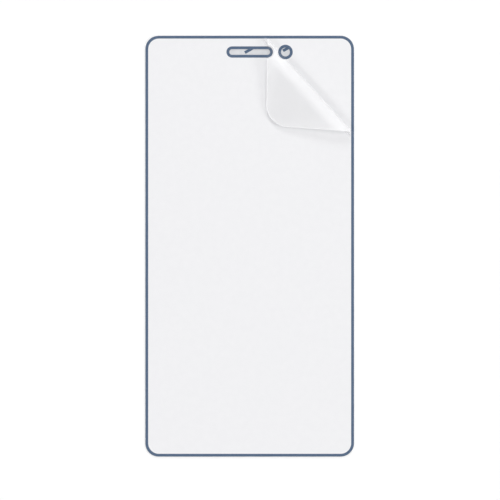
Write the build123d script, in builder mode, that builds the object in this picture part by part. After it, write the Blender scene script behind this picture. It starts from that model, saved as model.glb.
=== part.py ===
# Phone screen protector, lying flat, with the clear cover sheet peeled back at one corner.
# Millimetres. +Z is up from the surface it lies on, and +Y points to the earpiece end.
# The origin is at the middle of the underside.
import os
from math import cos, radians, sin

from build123d import *

# Protector film
film_width = 70.0
film_length = 141.2
film_corner_radius = 4.5
film_thickness = 0.20

# Release liner under the film, cut to the film's outline
liner_thickness = 0.10

# Openings through the film, both on one line across its top
openings_from_top = 5.45
earpiece_length = 13.7
earpiece_width = 1.9
camera_diameter = 3.0
camera_from_earpiece = 12.0

# Printed line round the edge and round both openings, set flush into the film's face
line_width = 0.95
print_depth = 0.04

# Run-in strokes of the line, printed on the liner inside the openings, with their free ends
# measured from the middle of each opening
run_in_angle = 30.0
run_in_length = 4.0
earpiece_run_in_x = -1.6
earpiece_run_in_y = -0.2
camera_run_in_x = -0.8
camera_run_in_y = 0.4

# Clear cover sheet on the film's face, cut to its outline
cover_thickness = 0.10

# Corner to peel by: cut below square along its top, standing out past the film along its side,
# and rounder than the others
peel_cut_back = 2.45
peel_stand_out = 1.0
peel_corner_radius = 7.5

# Peeled corner: where the cover sheet leaves the film, measured from its square corner
lift_along_top = 32.6
lift_along_side = 36.0

# Section of the roll, at the middle of the sheet: it lifts, turns over and relaxes (degrees of turn)
lift_radius = 2.5
lift_turn = 40.0
nose_radius = 0.9
relax_radius = 12.0
relax_turn = 22.0

# Slope of the free flap beyond the roll, down towards its tip
flap_dip = 8.0

# Turn between two sections of the roll
section_turn = 7.5

# Levels and places that follow from the sizes
film_bottom = liner_thickness
film_top = film_bottom + film_thickness
openings_y = film_length / 2 - openings_from_top
camera_radius = camera_diameter / 2
inner_width = film_width - 2 * line_width
inner_length = film_length - 2 * line_width
inner_corner_radius = film_corner_radius - line_width
cover_middle = film_top + cover_thickness / 2
nose_turn = 180 + flap_dip - lift_turn - relax_turn

# Fold line of the peeled corner, from the cover sheet's side edge to its top edge
corner = Vector(film_width / 2, film_length / 2)
lift_top = corner - Vector(lift_along_top, 0)
lift_side = corner - Vector(0, lift_along_side)
peel_corner = corner + Vector(peel_stand_out, -peel_cut_back)
along = (lift_top - lift_side).normalized()
outward = Vector(along.Y, -along.X)
upward = Vector(0, 0, 1)
corner_reach = outward.dot(peel_corner - lift_side)


def roll_sections():
    """Bends of the roll in order, each a list of sections: length of sheet, travel, height and turn."""
    bends = []
    length = travel = height = turn = 0.0
    for radius, degrees in ((lift_radius, lift_turn), (nose_radius, nose_turn), (relax_radius, relax_turn)):
        steps = max(2, round(degrees / section_turn))
        step = radians(degrees) / steps
        sections = [(length, travel, height, turn)]
        for _ in range(steps):
            travel += radius * (sin(turn + step) - sin(turn))
            height += radius * (cos(turn) - cos(turn + step))
            turn += step
            length += radius * step
            sections.append((length, travel, height, turn))
        bends.append(sections)
    return bends


def edge_points(length):
    """Points of the unrolled sheet's top and side edges at a length of sheet beyond the fold line."""
    share = length / corner_reach
    return lift_top + (peel_corner - lift_top) * share, lift_side + (peel_corner - lift_side) * share


# Printed line, drawn on the film's face
with BuildSketch(Plane.XY.offset(film_top)) as printed_line:
    RectangleRounded(film_width, film_length, film_corner_radius)
    RectangleRounded(inner_width, inner_length, inner_corner_radius, mode=Mode.SUBTRACT)
    with Locations((0, openings_y)):
        SlotOverall(earpiece_length + 2 * line_width, earpiece_width + 2 * line_width)
        SlotOverall(earpiece_length, earpiece_width, mode=Mode.SUBTRACT)
    with Locations((camera_from_earpiece, openings_y)):
        Circle(camera_radius + line_width)
        Circle(camera_radius, mode=Mode.SUBTRACT)

# Run-in strokes, drawn on the liner and trimmed by the openings
run_in_align = (Align.MIN, Align.CENTER)
with BuildSketch(Plane.XY.offset(film_bottom)) as earpiece_run_in:
    with Locations((earpiece_run_in_x, openings_y + earpiece_run_in_y)):
        Rectangle(run_in_length, line_width, rotation=run_in_angle, align=run_in_align)
    with Locations((0, openings_y)):
        SlotOverall(earpiece_length, earpiece_width, mode=Mode.INTERSECT)
with BuildSketch(Plane.XY.offset(film_bottom)) as camera_run_in:
    with Locations((camera_from_earpiece + camera_run_in_x, openings_y + camera_run_in_y)):
        Rectangle(run_in_length, line_width, rotation=run_in_angle, align=run_in_align)
    with Locations((camera_from_earpiece, openings_y)):
        Circle(camera_radius, mode=Mode.INTERSECT)

# Release liner
with BuildPart() as release_liner:
    with BuildSketch():
        RectangleRounded(film_width, film_length, film_corner_radius)
    extrude(amount=liner_thickness)

# Protector film with its openings and the step for the printed line
with BuildPart() as protector_film:
    with BuildSketch(Plane.XY.offset(film_bottom)):
        RectangleRounded(film_width, film_length, film_corner_radius)
        with Locations((0, openings_y)):
            SlotOverall(earpiece_length, earpiece_width, mode=Mode.SUBTRACT)
        with Locations((camera_from_earpiece, openings_y)):
            Circle(camera_radius, mode=Mode.SUBTRACT)
    extrude(amount=film_thickness)
    extrude(printed_line.sketch, amount=-print_depth, mode=Mode.SUBTRACT)

# Printed line, flush with the film's face, and its run-in strokes on the liner
with BuildPart() as edge_print:
    extrude(printed_line.sketch, amount=-print_depth)
    extrude(earpiece_run_in.sketch, amount=print_depth)
    extrude(camera_run_in.sketch, amount=print_depth)

# Cover sheet: flat as far as the fold line, rolled over, and flat again to its rounded corner.
# The rolled sheet keeps its true length and width, so its edges curl round the roll as real ones do.
roll = roll_sections()
roll_length, end_travel, end_height, end_turn = roll[-1][-1]
flap_forward = outward * cos(end_turn) + upward * sin(end_turn)
flap_up = upward * cos(end_turn) - outward * sin(end_turn)
flap_start = lift_side + outward * end_travel + upward * (cover_middle + end_height)
flap_plane = Plane(
    origin=flap_start - along * along.dot(lift_side) - flap_forward * (outward.dot(lift_side) + roll_length),
    x_dir=along * along.X + flap_forward * outward.X,
    z_dir=flap_up,
)
with BuildPart() as cover_sheet:
    with BuildSketch(Plane.XY.offset(cover_middle)):
        RectangleRounded(film_width, film_length, film_corner_radius)
        Polygon(lift_top, lift_side, corner, align=None, mode=Mode.SUBTRACT)
    extrude(amount=cover_thickness / 2, both=True)
    for bend in roll:
        for length, travel, height, turn in bend:
            top_edge, side_edge = edge_points(length)
            near = along.dot(side_edge - lift_side)
            far = along.dot(top_edge - lift_side)
            section_plane = Plane(
                origin=lift_side + outward * travel + upward * (cover_middle + height),
                x_dir=along,
                z_dir=outward * cos(turn) + upward * sin(turn),
            )
            with BuildSketch(section_plane):
                with Locations(((near + far) / 2, 0)):
                    Rectangle(far - near, cover_thickness)
        loft()
    with BuildSketch(flap_plane) as flap:
        Polygon(*edge_points(roll_length), peel_corner, align=None)
        fillet(flap.vertices().sort_by_distance(peel_corner)[0], radius=peel_corner_radius)
    extrude(amount=cover_thickness / 2, both=True)

# Files
release_liner.part.label = "release_liner"
protector_film.part.label = "protector_film"
edge_print.part.label = "edge_print"
cover_sheet.part.label = "cover_sheet"
os.makedirs("parts", exist_ok=True)
export_step(release_liner.part, "parts/release_liner.step")
export_step(protector_film.part, "parts/protector_film.step")
export_step(edge_print.part, "parts/edge_print.step")
export_step(cover_sheet.part, "parts/cover_sheet.step")
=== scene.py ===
"""Looks of a phone screen protector that lies flat, with its clear cover sheet peeled back at a corner.

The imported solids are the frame. The liner, the film and the printed line keep their solids and get
their finishes here. The cover sheet is drawn flat, cut into strips along its fold, and rolled back
by a Geometry Nodes rule that keeps every length of the sheet. Lengths are in metres.
"""

import logging
import math
from dataclasses import dataclass, field
from enum import Enum
from itertools import pairwise

import bmesh
import bpy
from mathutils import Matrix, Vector


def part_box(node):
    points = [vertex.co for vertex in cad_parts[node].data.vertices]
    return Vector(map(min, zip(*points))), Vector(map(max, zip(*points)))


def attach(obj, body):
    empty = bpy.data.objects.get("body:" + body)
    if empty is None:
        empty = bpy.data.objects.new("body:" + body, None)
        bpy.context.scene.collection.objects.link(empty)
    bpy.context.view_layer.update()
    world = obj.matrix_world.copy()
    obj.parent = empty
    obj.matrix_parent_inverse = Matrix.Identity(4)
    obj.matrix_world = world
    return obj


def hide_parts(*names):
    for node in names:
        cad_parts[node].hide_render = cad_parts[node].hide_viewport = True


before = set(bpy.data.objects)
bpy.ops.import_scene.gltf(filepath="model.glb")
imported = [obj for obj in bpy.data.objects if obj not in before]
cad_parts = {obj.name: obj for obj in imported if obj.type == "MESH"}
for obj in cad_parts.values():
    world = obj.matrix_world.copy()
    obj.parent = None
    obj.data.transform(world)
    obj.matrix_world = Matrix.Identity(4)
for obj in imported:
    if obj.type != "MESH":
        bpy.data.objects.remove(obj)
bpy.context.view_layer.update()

MM = 0.001
WHITE = (1.0, 1.0, 1.0, 1.0)
LOG = logging.getLogger("screen_protector")

Socket = bpy.types.NodeSocket
Material = bpy.types.Material
Object = bpy.types.Object
Colour = tuple[float, float, float]
Stretch = tuple[float, float, float]
Range = tuple[float, float]


class Node(Enum):
    """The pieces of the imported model."""

    LINER = "release_liner"
    FILM = "protector_film"
    PRINT = "edge_print"
    COVER = "cover_sheet"


class Slot(Enum):
    """The record's material slots."""

    LINER = "liner"
    FILM = "film"
    PRINT = "print"
    COVER = "cover"


class Attribute(Enum):
    """What the cover sheet's points carry for its finish."""

    EDGE = "cut_edge"
    LIFT = "lift"


@dataclass(frozen=True)
class Field:
    """A number or vector that runs through a node tree, written as a formula."""

    graph: "Graph"
    socket: Socket

    def _with(self, operation: str, *others: "Field | float") -> "Field":
        """This field and others through one Math node."""
        return self.graph.math(operation, self, *others)

    def __add__(self, other: "Field | float") -> "Field":
        """The sum of two numbers."""
        return self._with("ADD", other)

    def __sub__(self, other: "Field | float") -> "Field":
        """The difference of two numbers."""
        return self._with("SUBTRACT", other)

    def __mul__(self, other: "Field | float") -> "Field":
        """The product of two numbers."""
        return self._with("MULTIPLY", other)

    def __truediv__(self, other: "Field | float") -> "Field":
        """The quotient of two numbers."""
        return self._with("DIVIDE", other)

    def least(self, other: "Field | float") -> "Field":
        """The smaller of two numbers."""
        return self._with("MINIMUM", other)

    def most(self, other: "Field | float") -> "Field":
        """The larger of two numbers."""
        return self._with("MAXIMUM", other)

    def power(self, exponent: float) -> "Field":
        """A number raised to a power."""
        return self._with("POWER", exponent)

    def size(self) -> "Field":
        """A number without its sign."""
        return self._with("ABSOLUTE")

    def sine(self) -> "Field":
        """The sine of an angle."""
        return self._with("SINE")

    def cosine(self) -> "Field":
        """The cosine of an angle."""
        return self._with("COSINE")

    def dot(self, other: "Field") -> "Field":
        """The dot product of two vectors."""
        return self.graph.vector("DOT_PRODUCT", self, other)

    def less(self, other: "Field") -> "Field":
        """The difference of two vectors."""
        return self.graph.vector("SUBTRACT", self, other)

    def plus(self, other: "Field") -> "Field":
        """The sum of two vectors."""
        return self.graph.vector("ADD", self, other)

    def times(self, factor: "Field") -> "Field":
        """A vector stretched by a number."""
        return self.graph.vector("SCALE", self, factor)


class Graph:
    """A node tree while it is being wired."""

    def __init__(self, tree: bpy.types.NodeTree) -> None:
        """Starts from a tree.

        Args:
            tree: The shader or geometry tree to add nodes to.
        """
        self.tree = tree

    def node(
        self, kind: str, inputs: dict[str | int, object] | None = None, **settings: object
    ) -> bpy.types.Node:
        """Adds one node.

        Args:
            kind: Blender's name for the node type.
            inputs: Socket name or number, with a plain value, a Field or the socket that feeds it.
            settings: The node's own properties.

        Returns:
            The node.
        """
        node = self.tree.nodes.new(kind)
        for name, value in settings.items():
            setattr(node, name, value)
        for key, value in (inputs or {}).items():
            self.feed(node.inputs[key], value)
        return node

    def feed(self, socket: Socket, value: object) -> None:
        """Sets or links one input.

        Args:
            socket: The input.
            value: A plain value, a Field or the socket that feeds it.
        """
        if isinstance(value, Field):
            value = value.socket
        if isinstance(value, Socket):
            self.tree.links.new(value, socket)
        else:
            socket.default_value = value

    def number(self, value: float) -> Field:
        """A plain number.

        Args:
            value: The number.

        Returns:
            The number as a field.
        """
        node = self.node("ShaderNodeValue")
        node.outputs[0].default_value = value
        return Field(self, node.outputs[0])

    def math(self, operation: str, *values: "Field | float") -> Field:
        """One Math node.

        Args:
            operation: Blender's name for the operation.
            values: Its operands.

        Returns:
            The result.
        """
        node = self.node("ShaderNodeMath", dict(enumerate(values)), operation=operation)
        return Field(self, node.outputs[0])

    def vector(self, operation: str, first: Field, second: Field) -> Field:
        """One Vector Math node.

        Args:
            operation: Blender's name for the operation.
            first: A vector.
            second: A vector, or the factor where the operation stretches the first.

        Returns:
            The result, a number for a dot product.
        """
        key = "Scale" if operation == "SCALE" else 1
        node = self.node("ShaderNodeVectorMath", {0: first, key: second}, operation=operation)
        return Field(self, node.outputs["Value" if operation == "DOT_PRODUCT" else "Vector"])


def new_material(name: str) -> tuple[Material, Graph]:
    """An empty node material.

    Args:
        name: The material's name.

    Returns:
        The material and the graph of its tree.
    """
    material = bpy.data.materials.new(name)
    material.use_nodes = True
    material.node_tree.nodes.clear()
    return material, Graph(material.node_tree)


def show(graph: Graph, shader: Socket) -> None:
    """Sends a shader to the material's output."""
    graph.node("ShaderNodeOutputMaterial", {"Surface": shader})


def grain(graph: Graph, size: float, detail: float, stretch: Stretch = (1.0, 1.0, 1.0)) -> Field:
    """Noise of a given size on Object coordinates.

    Args:
        graph: The material's graph.
        size: How large one blotch is, in metres.
        detail: How many finer layers it has.
        stretch: How many times finer the noise is along each axis.

    Returns:
        The noise, from 0 to 1 and mostly near a half.
    """
    place = graph.node("ShaderNodeTexCoord").outputs["Object"]
    mapped = graph.node("ShaderNodeMapping", {"Vector": place, "Scale": stretch}).outputs[0]
    noise = graph.node("ShaderNodeTexNoise", {"Vector": mapped, "Scale": 1 / size, "Detail": detail})
    return Field(graph, noise.outputs[0])


def shades(graph: Graph, amount: Field, first: Colour, second: Colour, places: Range) -> Socket:
    """A colour between two shades.

    Args:
        graph: The material's graph.
        amount: What chooses the shade.
        first: One shade.
        second: The other shade.
        places: The amounts that give the first and the second shade.

    Returns:
        The colour's socket.
    """
    ramp = graph.node("ShaderNodeValToRGB", {0: amount})
    for stop, place, colour in zip(ramp.color_ramp.elements, places, (first, second)):
        stop.position = place
        stop.color = (*colour, 1.0)
    return ramp.outputs[0]


def spread(graph: Graph, amount: Field, values: Range) -> Socket:
    """Noise brought to a range of values.

    Args:
        graph: The material's graph.
        amount: Noise from 0 to 1.
        values: The values at 0 and at 1.

    Returns:
        The value's socket.
    """
    inputs = {"Value": amount, "To Min": values[0], "To Max": values[1]}
    return graph.node("ShaderNodeMapRange", inputs).outputs[0]


def tooth(graph: Graph, height: Field, depth: float, strength: float) -> Socket:
    """A bumped normal.

    Args:
        graph: The material's graph.
        height: The relief, from 0 to 1.
        depth: The relief's height in metres.
        strength: How much of it shows.

    Returns:
        The normal's socket.
    """
    inputs = {"Height": height, "Distance": depth, "Strength": strength}
    return graph.node("ShaderNodeBump", inputs).outputs[0]


@dataclass(frozen=True)
class MilkyFilmFinish:
    """Matte film, milky white with a faint cloudiness and a fine tooth."""

    dark: Colour = (0.800, 0.800, 0.816)
    light: Colour = (0.810, 0.810, 0.825)
    shade_places: Range = (0.35, 0.65)
    cloud: float = 2.2 * MM
    cloud_detail: float = 4.0
    grit: float = 0.09 * MM
    grit_detail: float = 2.0
    grit_depth: float = 0.004 * MM
    grit_strength: float = 0.35
    roughness: Range = (0.5, 0.66)
    ior: float = 1.5

    def material(self) -> Material:
        """Builds the finish.

        Returns:
            The material.
        """
        material, graph = new_material("milky_matte_film")
        cloud = grain(graph, self.cloud, self.cloud_detail)
        grit = grain(graph, self.grit, self.grit_detail)
        inputs = {
            "Base Color": shades(graph, cloud, self.dark, self.light, self.shade_places),
            "Roughness": spread(graph, grit, self.roughness),
            "Normal": tooth(graph, grit, self.grit_depth, self.grit_strength),
            "IOR": self.ior,
        }
        show(graph, graph.node("ShaderNodeBsdfPrincipled", inputs).outputs[0])
        return material


@dataclass(frozen=True)
class LineInkFinish:
    """Blue-grey printing ink, a little uneven in density, drying matt."""

    thin: Colour = (0.084, 0.130, 0.209)
    full: Colour = (0.068, 0.111, 0.186)
    shade_places: Range = (0.3, 0.7)
    blotch: float = 0.8 * MM
    blotch_detail: float = 5.0
    grit: float = 0.06 * MM
    grit_detail: float = 2.0
    grit_depth: float = 0.003 * MM
    grit_strength: float = 0.3
    roughness: Range = (0.48, 0.64)
    ior: float = 1.45

    def material(self) -> Material:
        """Builds the finish.

        Returns:
            The material.
        """
        material, graph = new_material("blue_grey_ink")
        blotch = grain(graph, self.blotch, self.blotch_detail)
        grit = grain(graph, self.grit, self.grit_detail)
        inputs = {
            "Base Color": shades(graph, blotch, self.thin, self.full, self.shade_places),
            "Roughness": spread(graph, grit, self.roughness),
            "Normal": tooth(graph, grit, self.grit_depth, self.grit_strength),
            "IOR": self.ior,
        }
        show(graph, graph.node("ShaderNodeBsdfPrincipled", inputs).outputs[0])
        return material


@dataclass(frozen=True)
class LinerWithPaintedShadeFinish:
    """Light grey backing film with faint coating streaks along its length; the grey is painted shade that
    stands for the shadow seen through the film's two openings.
    """

    # Painted shade: these greys stand for the shadow seen through the film's slot and camera hole.
    dark: Colour = (0.624, 0.632, 0.654)
    light: Colour = (0.667, 0.675, 0.697)
    shade_places: Range = (0.35, 0.65)
    streak: float = 1.6 * MM
    streak_detail: float = 3.0
    streak_stretch: Stretch = (1.0, 0.05, 1.0)
    roughness: Range = (0.34, 0.5)
    ior: float = 1.45

    def material(self) -> Material:
        """Builds the finish.

        Returns:
            The material.
        """
        material, graph = new_material("grey_liner")
        streak = grain(graph, self.streak, self.streak_detail, self.streak_stretch)
        inputs = {
            "Base Color": shades(graph, streak, self.dark, self.light, self.shade_places),
            "Roughness": spread(graph, streak, self.roughness),
            "IOR": self.ior,
        }
        show(graph, graph.node("ShaderNodeBsdfPrincipled", inputs).outputs[0])
        return material


@dataclass(frozen=True)
class PrintedLine:
    """Where the film's printed line runs: round its edge and round its two openings."""

    width: float = 0.95 * MM
    film_corner_radius: float = 4.5 * MM
    openings_from_top: float = 5.45 * MM
    earpiece_length: float = 13.7 * MM
    earpiece_width: float = 1.9 * MM
    camera_diameter: float = 3.0 * MM
    camera_from_earpiece: float = 12.0 * MM

    def distance(self, graph: Graph) -> Field:
        """How far a point lies from the nearest stretch of the line, seen from above.

        Args:
            graph: The material's graph.

        Returns:
            The distance in metres, below zero on the line and in the openings.
        """
        film_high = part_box(Node.FILM.value)[1]
        place = graph.node("ShaderNodeTexCoord").outputs["Object"]
        parts = graph.node("ShaderNodeSeparateXYZ", {"Vector": place}).outputs
        across, along = Field(graph, parts["X"]), Field(graph, parts["Y"])
        beyond_openings = along - (film_high.y - self.openings_from_top)
        straight = (self.earpiece_length - self.earpiece_width) / 2
        earpiece = self._far((across.size() - straight).most(0.0), beyond_openings)
        camera = self._far(across - self.camera_from_earpiece, beyond_openings)
        to_earpiece = earpiece - (self.earpiece_width / 2 + self.width)
        to_camera = camera - (self.camera_diameter / 2 + self.width)
        return to_earpiece.least(to_camera).least(self._to_edge(across, along, film_high))

    def _to_edge(self, across: Field, along: Field, film_high: Vector) -> Field:
        """How far a point lies inside the line round the film's edge.

        Args:
            across: The point's place across the film.
            along: The point's place along the film.
            film_high: The film's upper corner.

        Returns:
            The distance in metres, below zero on the line.
        """
        past_side = across.size() - (film_high.x - self.film_corner_radius)
        past_end = along.size() - (film_high.y - self.film_corner_radius)
        round_corner = self._far(past_side.most(0.0), past_end.most(0.0))
        outward = round_corner + past_side.most(past_end).least(0.0)
        return (outward - (self.film_corner_radius - self.width)) * -1.0

    def _far(self, across: Field, along: Field) -> Field:
        """The length of a step with two legs."""
        return (across * across + along * along).power(0.5)


@dataclass(frozen=True)
class ClearSheetFinish:
    """Clear glossy sheet, white at its cut.

    It shows least where it is stuck down. Where it is free, its glue side is hazy and shiny, but it
    stays almost clear over the printed line. Mirrors and hazes are shares of the light from 0 to 1.
    """

    free_mirror: float = 0.22
    stuck_rim_mirror: float = 0.2
    free_rim_mirror: float = 0.05
    rim_power: float = 5.0
    roughness: Range = (0.34, 0.42)
    smear: float = 9.0 * MM
    smear_detail: float = 3.0
    free_haze: float = 0.51
    cut_haze: float = 0.78
    haze_colour: Colour = (0.938, 0.938, 0.952)
    haze_roughness: float = 0.9
    line_margin: float = 0.2 * MM
    line_fade: float = 0.25 * MM
    line_share: float = 0.04
    line: PrintedLine = PrintedLine()

    def material(self) -> Material:
        """Builds the finish.

        Returns:
            The material.
        """
        material, graph = new_material("clear_sheet")
        beside_line = (self.line.distance(graph) - self.line_margin) / self.line_fade
        lift = self._carried(graph, Attribute.LIFT) * beside_line.most(self.line_share).least(1.0)
        cut = self._carried(graph, Attribute.EDGE) * lift
        smear = grain(graph, self.smear, self.smear_detail)
        slant = Field(graph, graph.node("ShaderNodeLayerWeight").outputs["Facing"])
        rim_mirror = lift * (self.free_rim_mirror - self.stuck_rim_mirror) + self.stuck_rim_mirror
        gloss = lift * self.free_mirror + slant.power(self.rim_power) * rim_mirror
        haze = lift * self.free_haze + cut * (self.cut_haze - self.free_haze)
        shine_inputs = {"Color": WHITE, "Roughness": spread(graph, smear, self.roughness)}
        shine = graph.node("ShaderNodeBsdfAnisotropic", shine_inputs).outputs[0]
        clear = graph.node("ShaderNodeBsdfTransparent").outputs[0]
        skin = graph.node("ShaderNodeMixShader", {0: gloss, 1: clear, 2: shine}).outputs[0]
        milk_inputs = {
            "Base Color": (*self.haze_colour, 1.0),
            "Roughness": self.haze_roughness,
            "Specular IOR Level": 0.0,
        }
        milk = graph.node("ShaderNodeBsdfPrincipled", milk_inputs).outputs[0]
        show(graph, graph.node("ShaderNodeMixShader", {0: haze, 1: skin, 2: milk}).outputs[0])
        return material

    def _carried(self, graph: Graph, attribute: Attribute) -> Field:
        """A number that the sheet's points carry."""
        node = graph.node("ShaderNodeAttribute", attribute_name=attribute.value)
        return Field(graph, node.outputs["Fac"])


@dataclass(frozen=True)
class PaleFloorFinish:
    """Plain white paper floor."""

    colour: Colour = (0.93, 0.93, 0.93)
    roughness: float = 0.9

    def material(self) -> Material:
        """Builds the finish.

        Returns:
            The material.
        """
        material, graph = new_material("pale_floor")
        inputs = {
            "Base Color": (*self.colour, 1.0),
            "Roughness": self.roughness,
            "Specular IOR Level": 0.0,
        }
        show(graph, graph.node("ShaderNodeBsdfPrincipled", inputs).outputs[0])
        return material


@dataclass
class FilmStack:
    """The liner, the film and the printed line, which keep their solids."""

    film: MilkyFilmFinish = MilkyFilmFinish()
    ink: LineInkFinish = LineInkFinish()
    # The liner's grey tone is painted shade, seen through the film's openings.
    liner: LinerWithPaintedShadeFinish = LinerWithPaintedShadeFinish()

    def dress(self) -> None:
        """Gives each solid its finish."""
        for node, slot, finish in (
            (Node.LINER, Slot.LINER, self.liner),
            (Node.FILM, Slot.FILM, self.film),
            (Node.PRINT, Slot.PRINT, self.ink),
        ):
            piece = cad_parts[node.value]
            piece.data.materials.clear()
            piece.data.materials.append(finish.material())
            LOG.info("%s dressed with %s", piece.name, piece.data.materials[0].name)


@dataclass(frozen=True)
class Bend:
    """One round stretch of the roll's section."""

    name: str
    radius: float
    degrees: float

    @property
    def turn(self) -> float:
        """How far it turns the sheet, in radians."""
        return math.radians(self.degrees)

    @property
    def length(self) -> float:
        """How much sheet it takes."""
        return self.radius * self.turn


@dataclass
class PeeledCover:
    """The clear cover sheet, stuck to the film except at its peeled and rolled corner.

    Its size and level come from its solid's box. Its corners, its fold and the section of its roll
    repeat the solid's own sizes.
    """

    corner_radius: float = 4.5 * MM
    peel_cut_back: float = 2.45 * MM
    peel_stand_out: float = 1.0 * MM
    peel_corner_radius: float = 7.5 * MM
    lift_along_top: float = 32.6 * MM
    lift_along_side: float = 36.0 * MM
    lift: Bend = Bend("Lift", 2.5 * MM, 40.0)
    nose: Bend = Bend("Nose", 0.9 * MM, 126.0)
    relax: Bend = Bend("Relax", 12.0 * MM, 22.0)
    thickness: float = 0.09 * MM
    glue_gap: float = 0.01 * MM
    cut_band: float = 0.3 * MM
    cut_fade: float = 0.06 * MM
    cut_mark: float = 1.0
    band_mark: float = 0.95
    # A face with a higher mean mark than this is the cut itself, and is shaded flat.
    smooth_mark: float = 0.99
    strip_degrees: float = 2.5
    strip_run_outs: tuple[float, ...] = (0.4 * MM, 1.6 * MM)
    strip_tolerance: float = 1e-8
    corner_degrees: float = 3.0
    finish: ClearSheetFinish = ClearSheetFinish()
    half_width: float = field(init=False)
    half_length: float = field(init=False)
    bottom: float = field(init=False)
    fold_point: Vector = field(init=False)
    along: Vector = field(init=False)
    outward: Vector = field(init=False)

    def __post_init__(self) -> None:
        """Works out the sheet's place and its fold from the solid's box."""
        low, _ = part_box(Node.COVER.value)
        self.half_width = -low.x
        self.half_length = -low.y
        self.bottom = low.z + self.glue_gap
        middle = self.bottom + self.thickness / 2
        self.fold_point = Vector((self.half_width, self.half_length - self.lift_along_side, middle))
        self.along = Vector((-self.lift_along_top, self.lift_along_side, 0)).normalized()
        self.outward = Vector((self.along.y, -self.along.x, 0))

    @property
    def bends(self) -> tuple[Bend, ...]:
        """The roll's bends, in order from the film."""
        return self.lift, self.nose, self.relax

    def build(self) -> None:
        """Makes the rolled sheet as a plain mesh in place of its solid."""
        cover = self._flat_object()
        flat_mesh = cover.data
        self._roll(cover)
        bpy.context.view_layer.update()
        evaluated = cover.evaluated_get(bpy.context.evaluated_depsgraph_get())
        rolled_mesh = bpy.data.meshes.new_from_object(evaluated)
        cover.modifiers.clear()
        cover.data = rolled_mesh
        bpy.data.meshes.remove(flat_mesh)
        rolled_mesh.name = cover.name
        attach(cover, "root")
        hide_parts(Node.COVER.value)
        LOG.info("%s rolled back, %d faces", cover.name, len(rolled_mesh.polygons))

    def _corners(self) -> list[tuple[Vector, float]]:
        """Where the flat sheet turns a corner.

        Returns:
            The corners and their radii, counter-clockwise from the one to peel by.
        """
        wide, long = self.half_width, self.half_length
        peel_corner = Vector((wide + self.peel_stand_out, long - self.peel_cut_back))
        others = [
            Vector((wide - self.lift_along_top, long)),
            Vector((-wide, long)),
            Vector((-wide, -long)),
            Vector((wide, -long)),
            Vector((wide, long - self.lift_along_side)),
        ]
        rounded = [(corner, self.corner_radius) for corner in others]
        return [(peel_corner, self.peel_corner_radius), *rounded]

    def _outline(self, inset: float) -> list[Vector]:
        """Points of the flat sheet's outline, counter-clockwise.

        Args:
            inset: How far inside the cut edge the outline runs.

        Returns:
            The points, the same number for every inset.
        """
        corners = self._corners()
        points = []
        for number, (corner, radius) in enumerate(corners):
            arriving = (corner - corners[number - 1][0]).normalized()
            leaving = (corners[(number + 1) % len(corners)][0] - corner).normalized()
            turn = math.atan2(arriving.cross(leaving), arriving.dot(leaving))
            middle = corner + (leaving - arriving).normalized() * radius / math.cos(turn / 2)
            start = math.atan2(-arriving.x, arriving.y)
            steps = max(2, round(math.degrees(abs(turn)) / self.corner_degrees))
            for step in range(steps + 1):
                angle = start + turn * step / steps
                reach = math.copysign(radius, turn) - inset
                points.append(middle + Vector((math.cos(angle), math.sin(angle))) * reach)
        return points

    def _strip_places(self) -> list[float]:
        """Where the sheet is cut into strips.

        Returns:
            Distances beyond the fold line.
        """
        places = [*(-run_out for run_out in self.strip_run_outs), 0.0]
        start = 0.0
        for bend in self.bends:
            strips = round(bend.degrees / self.strip_degrees)
            places.extend(start + bend.length * (step + 1) / strips for step in range(strips))
            start += bend.length
        return [*places, *(start + run_out for run_out in self.strip_run_outs)]

    def _flat_object(self) -> Object:
        """The sheet before it is rolled: a thin slab with a marked cut edge, in strips along the fold.

        Returns:
            The flat object.
        """
        mesh = bpy.data.meshes.new("clear_cover")
        shape = bmesh.new()
        edge = shape.verts.layers.float.new(Attribute.EDGE.value)
        inwards = [
            (0.0, self.cut_mark),
            (self.cut_band, self.band_mark),
            (self.cut_band + self.cut_fade, 0.0),
        ]
        low, high = self.bottom, self.bottom + self.thickness
        rings = []
        for level, steps in ((low, reversed(inwards)), (high, inwards)):
            for inset, mark in steps:
                ring = [shape.verts.new((x, y, level)) for x, y in self._outline(inset)]
                for point in ring:
                    point[edge] = mark
                rings.append(ring)
        shape.faces.new(reversed(rings[0]))
        shape.faces.new(rings[-1])
        for first, second in pairwise(rings):
            for here in range(len(first)):
                there = (here + 1) % len(first)
                shape.faces.new((first[here], first[there], second[there], second[here]))
        for place in self._strip_places():
            bmesh.ops.bisect_plane(
                shape,
                geom=[*shape.verts, *shape.edges, *shape.faces],
                dist=self.strip_tolerance,
                plane_co=self.fold_point + self.outward * place,
                plane_no=self.outward,
            )
        bmesh.ops.recalc_face_normals(shape, faces=shape.faces)
        shape.to_mesh(mesh)
        shape.free()
        flat = bpy.data.objects.new("clear_cover", mesh)
        bpy.context.scene.collection.objects.link(flat)
        return flat

    def _roll(self, flat: Object) -> None:
        """Adds the modifier that rolls the flat sheet, with its sizes set.

        Args:
            flat: The flat sheet's object.
        """
        inputs = {
            "Fold point": ("Vector", self.fold_point),
            "Along fold": ("Vector", self.along),
            "Beyond fold": ("Vector", self.outward),
        }
        for bend in self.bends:
            inputs[f"{bend.name} radius"] = ("Float", bend.radius)
            inputs[f"{bend.name} turn"] = ("Float", bend.turn)
        inputs["Material"] = ("Material", self.finish.material())
        tree = bpy.data.node_groups.new("roll_back_corner", "GeometryNodeTree")
        for side in ("INPUT", "OUTPUT"):
            tree.interface.new_socket(name="Sheet", in_out=side, socket_type="NodeSocketGeometry")
        identifiers = {}
        for name, (kind, _) in inputs.items():
            socket = tree.interface.new_socket(name=name, in_out="INPUT", socket_type=f"NodeSocket{kind}")
            identifiers[name] = socket.identifier
        self._wire(Graph(tree))
        modifier = flat.modifiers.new("roll", "NODES")
        modifier.node_group = tree
        for name, (_, value) in inputs.items():
            modifier[identifiers[name]] = value

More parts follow.
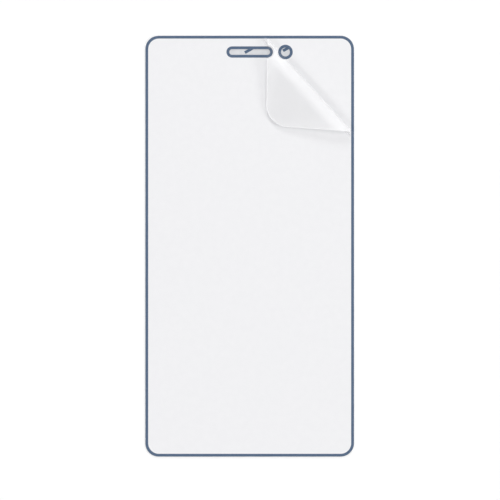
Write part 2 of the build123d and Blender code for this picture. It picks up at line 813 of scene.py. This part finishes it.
    def _wire(self, graph: Graph) -> None:
        """Wires the rule that rolls the flat sheet and dresses it.

        Args:
            graph: The rule's graph, which has its inputs and its output.
        """
        given = {socket.name: Field(graph, socket) for socket in graph.node("NodeGroupInput").outputs}
        place, freedom = self._rolled(graph, given)
        mark_inputs = {"Geometry": given["Sheet"], "Name": Attribute.LIFT.value, "Value": freedom}
        mark = graph.node("GeometryNodeStoreNamedAttribute", mark_inputs, data_type="FLOAT", domain="POINT")
        move = graph.node("GeometryNodeSetPosition", {"Geometry": mark.outputs[0], "Position": place})
        edge_inputs = {"Name": Attribute.EDGE.value}
        edge = graph.node("GeometryNodeInputNamedAttribute", edge_inputs, data_type="FLOAT").outputs[0]
        broad_inputs = {0: edge, 1: self.smooth_mark}
        broad = graph.node("FunctionNodeCompare", broad_inputs, data_type="FLOAT", operation="LESS_THAN")
        smooth_inputs = {"Geometry": move.outputs[0], "Shade Smooth": broad.outputs[0]}
        smooth = graph.node("GeometryNodeSetShadeSmooth", smooth_inputs, domain="FACE")
        real = graph.node("GeometryNodeRealizeInstances", {"Geometry": smooth.outputs[0]})
        dress_inputs = {"Geometry": real.outputs[0], "Material": given["Material"]}
        dress = graph.node("GeometryNodeSetMaterial", dress_inputs)
        graph.node("NodeGroupOutput", {"Sheet": dress.outputs[0]})

    def _rolled(self, graph: Graph, given: dict[str, Field]) -> tuple[Field, Field]:
        """Where a point of the flat sheet comes to lie when the sheet is rolled without stretching.

        Args:
            graph: The rule's graph.
            given: The rule's inputs by name.

        Returns:
            The point's place, and how free its glue side is, from 0 where it is stuck to 1.
        """
        fold, along, beyond = (given[name] for name in ("Fold point", "Along fold", "Beyond fold"))
        upward = Field(graph, graph.node("ShaderNodeCombineXYZ", {"Z": 1.0}).outputs[0])
        flat_place = Field(graph, graph.node("GeometryNodeInputPosition").outputs[0]).less(fold)
        reach = flat_place.dot(beyond)
        above = flat_place.dot(upward)
        travel = reach.least(0.0)
        height = slope = turn_before = length_before = graph.number(0.0)
        for bend in self.bends:
            radius, turn = (given[f"{bend.name} {size}"] for size in ("radius", "turn"))
            swing = ((reach - length_before) / radius).most(0.0).least(turn)
            travel = travel + radius * ((turn_before + swing).sine() - turn_before.sine())
            height = height + radius * (turn_before.cosine() - (turn_before + swing).cosine())
            slope = slope + swing
            turn_before = turn_before + turn
            length_before = length_before + radius * turn
        flap = (reach - length_before).most(0.0)
        travel = travel + flap * slope.cosine() - above * slope.sine()
        height = height + flap * slope.sine() + above * slope.cosine()
        line_place = fold.plus(along.times(flat_place.dot(along)))
        place = line_place.plus(beyond.times(travel)).plus(upward.times(height))
        glue_side = graph.math("LESS_THAN", above, 0.0)
        freedom = (slope / given[f"{self.lift.name} turn"]).least(1.0) * glue_side
        return place, freedom


@dataclass(frozen=True)
class SoftLight:
    """One rectangular studio light aimed at the middle of the film.

    Angles are in degrees, the azimuth clockwise from the earpiece end. Power is in watts.
    """

    name: str
    azimuth: float
    power: float
    elevation: float = 30.0
    distance: float = 3.0
    width: float = 1.4
    height: float = 1.0

    def build(self) -> None:
        """Makes the light."""
        lamp = bpy.data.lights.new(self.name, "AREA")
        lamp.shape = "RECTANGLE"
        lamp.size = self.width
        lamp.size_y = self.height
        lamp.energy = self.power
        light = bpy.data.objects.new(self.name, lamp)
        side, rise = math.radians(self.azimuth), math.radians(self.elevation)
        across = math.cos(rise)
        towards = Vector((math.sin(side) * across, math.cos(side) * across, math.sin(rise)))
        light.location = towards * self.distance
        light.rotation_euler = towards.to_track_quat("Z", "Y").to_euler()
        bpy.context.scene.collection.objects.link(light)


@dataclass
class Studio:
    """Plain white floor, soft light and a camera straight above the film.

    The picture's size and the film's width and middle in it are in pixels of the photograph.
    """

    picture_size: float = 500.0
    film_width: float = 208.64
    film_middle_x: float = 249.68
    film_middle_y: float = 246.18
    lens: float = 200.0
    sensor: float = 36.0
    floor_half: float = 6.0
    sky: float = 0.396
    clear_layers: int = 32
    floor: PaleFloorFinish = PaleFloorFinish()
    lights: tuple[SoftLight, ...] = (
        SoftLight("softbox", azimuth=48.0, power=16.0, elevation=70.0, width=1.0, height=1.8),
        SoftLight("top_key", azimuth=0.0, power=32.0),
        SoftLight("right_key", azimuth=98.0, power=29.3),
        SoftLight("low_fill", azimuth=185.0, power=20.7),
        SoftLight("left_fill", azimuth=273.0, power=20.7),
    )

    def build(self) -> None:
        """Makes the floor, the sky, the lights and the camera, and sets how tones and clear layers show."""
        self._floor()
        self._sky()
        for light in self.lights:
            light.build()
        self._camera()
        scene = bpy.context.scene
        scene.view_settings.view_transform = "Standard"
        scene.cycles.transparent_max_bounces = self.clear_layers

    def _floor(self) -> None:
        """Lays the floor at the film's underside."""
        mesh = bpy.data.meshes.new("floor")
        half = self.floor_half
        corners = [(-half, -half, 0.0), (half, -half, 0.0), (half, half, 0.0), (-half, half, 0.0)]
        mesh.from_pydata(corners, [], [(0, 1, 2, 3)])
        mesh.materials.append(self.floor.material())
        floor = bpy.data.objects.new("floor", mesh)
        bpy.context.scene.collection.objects.link(floor)

    def _sky(self) -> None:
        """Fills the room with even white light."""
        world = bpy.data.worlds.new("white_room")
        world.use_nodes = True
        world.node_tree.nodes.clear()
        graph = Graph(world.node_tree)
        light = graph.node("ShaderNodeBackground", {"Color": WHITE, "Strength": self.sky})
        graph.node("ShaderNodeOutputWorld", {"Surface": light.outputs[0]})
        bpy.context.scene.world = world

    def _camera(self) -> None:
        """Sets the camera above the film, so that the film lies where the photograph has it."""
        view = bpy.data.cameras.new("camera")
        view.sensor_width = self.sensor
        view.lens = self.lens
        camera = bpy.data.objects.new("camera", view)
        film_low, film_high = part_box(Node.FILM.value)
        pixel = (film_high.x - film_low.x) / self.film_width
        across = (self.picture_size / 2 - self.film_middle_x) * pixel
        up = (self.film_middle_y - self.picture_size / 2) * pixel
        reach = self.picture_size * pixel * self.lens / self.sensor
        camera.location = (across, up, film_high.z + reach)
        bpy.context.scene.collection.objects.link(camera)
        bpy.context.scene.camera = camera


def main() -> None:
    """Builds the protector and the studio in order."""
    logging.basicConfig(level=logging.INFO, format="%(name)s: %(message)s")
    FilmStack().dress()
    PeeledCover().build()
    Studio().build()


if __name__ == "__main__":
    main()
